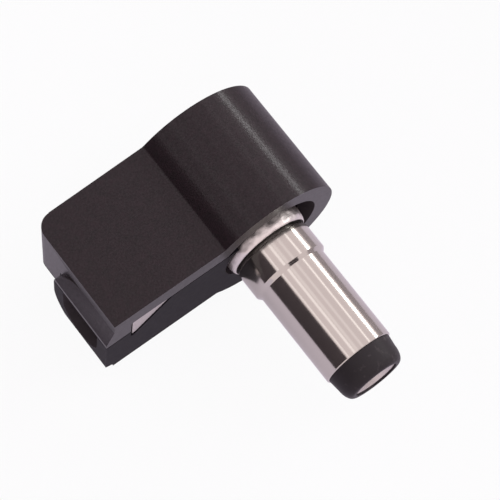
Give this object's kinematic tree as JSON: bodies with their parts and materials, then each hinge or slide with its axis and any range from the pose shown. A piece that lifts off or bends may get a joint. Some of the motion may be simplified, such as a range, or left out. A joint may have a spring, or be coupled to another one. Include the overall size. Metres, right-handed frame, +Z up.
{
  "type": "right-angle dc power plug",
  "caption": "Right-angle barrel power plug: hollow metal barrel with insulated tip and centre contact, in a keyhole-shaped cover with a hinged lid over the solder tags.",
  "frame": {"origin": "on the barrel axis at the root of the straight shank, where the cone of the shoulder ends", "axes": "-Y along the barrel towards its tip, -X along the handle towards the cable outlet, +Z up from the lid to the cover's plain top"},
  "size_m": [0.0198, 0.0221, 0.0118],
  "materials": {
    "cover": "fine textured black",
    "lid": "smooth black",
    "nickel": "nickel-plated brass, dull",
    "bright_nickel": "nickel-plated steel, bright",
    "insulator": "smooth black",
    "washer": "natural"
  },
  "bodies": {
    "plug": {"upper_cover": "cover", "collar_ring": "nickel", "barrel_sleeve": "bright_nickel", "tip_insulator": "insulator", "center_contact": "nickel", "rear_washer": "washer", "sleeve_tag": "nickel", "center_tag": "nickel"},
    "lid": {"lower_cover": "lid"}
  },
  "joints": [
    {"name": "lid_hinge", "type": "hinge", "parent": "plug", "child": "lid", "pos_m": [0.0036, 0.008, -0.00347], "axis": [0, -1, 0], "range_deg": [0, 50]}
  ]
}
